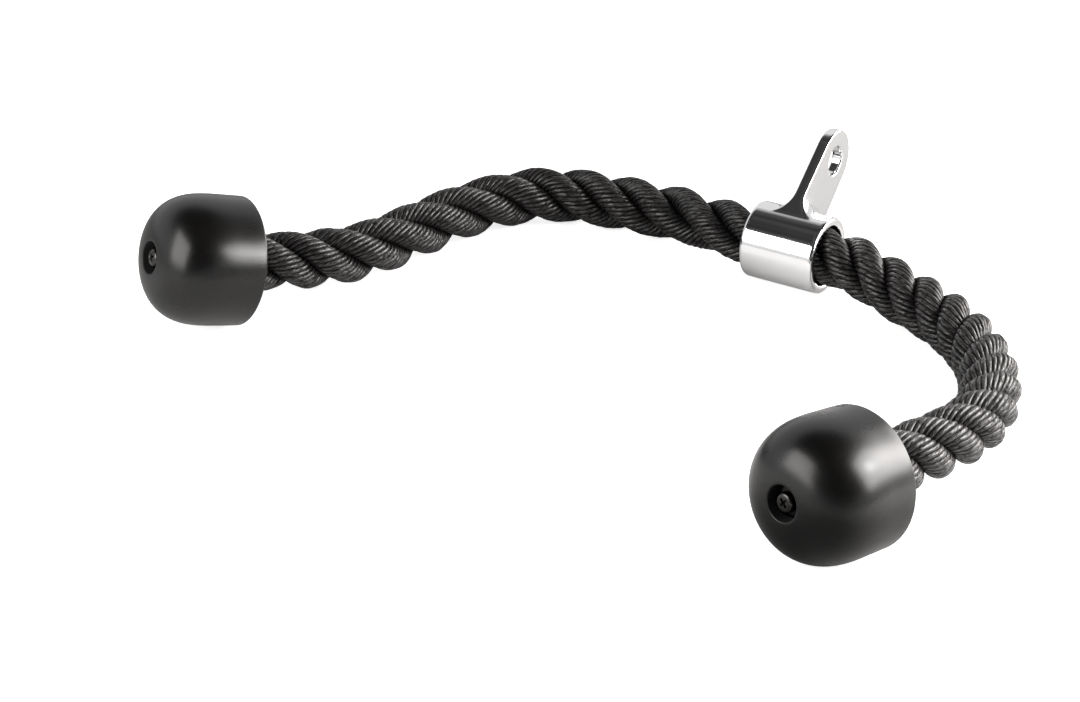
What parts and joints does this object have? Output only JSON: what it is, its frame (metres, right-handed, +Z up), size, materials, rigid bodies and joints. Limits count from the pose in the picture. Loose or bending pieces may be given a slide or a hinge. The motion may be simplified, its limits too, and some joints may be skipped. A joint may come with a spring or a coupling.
{
  "type": "triceps rope attachment",
  "caption": "Black laid rope with rubber ball ends, running through a chromed collar with an eye tab that clips to the cable of a gym pulley machine.",
  "frame": {"origin": "centre of the bounding box's footprint, on the floor that the attachment lies on", "axes": "+X along the collar's bore, from the left arm to the right arm; +Z up from the floor; the arms lie toward -Y"},
  "size_m": [0.4234, 0.3118, 0.0688],
  "materials": {
    "chrome": "polished",
    "rope_nylon": "satin laid yarn",
    "ball_rubber": "satin",
    "screw_steel": "blackened",
    "washer_steel": "blackened",
    "ferrule_aluminium": "as crimped",
    "plug_steel": "plain turned"
  },
  "bodies": {
    "collar": {"collar_eye": "chrome"},
    "rope_core": {"rope_middle": "rope_nylon"},
    "left_arm": {"rope_left": "rope_nylon", "end_ball_left": "ball_rubber", "end_screw_left": "screw_steel", "end_washer_left": "washer_steel", "rope_ferrule_left": "ferrule_aluminium", "rope_plug_left": "plug_steel"},
    "right_arm": {"rope_right": "rope_nylon", "end_ball_right": "ball_rubber", "end_screw_right": "screw_steel", "end_washer_right": "washer_steel", "rope_ferrule_right": "ferrule_aluminium", "rope_plug_right": "plug_steel"}
  },
  "joints": [
    {"name": "rope_swivel", "type": "hinge", "parent": "collar", "child": "rope_core", "pos_m": [0.04395, 0.10042, 0.0197], "axis": [-1, 0, 0], "continuous": true},
    {"name": "left_bend", "type": "hinge", "parent": "rope_core", "child": "left_arm", "pos_m": [0.0162, 0.10042, 0.0197], "axis": [0, 0, 1], "range_deg": [-45, 30]},
    {"name": "right_bend", "type": "hinge", "parent": "rope_core", "child": "right_arm", "pos_m": [0.0717, 0.10042, 0.0197], "axis": [0, 0, 1], "range_deg": [-30, 45]}
  ]
}
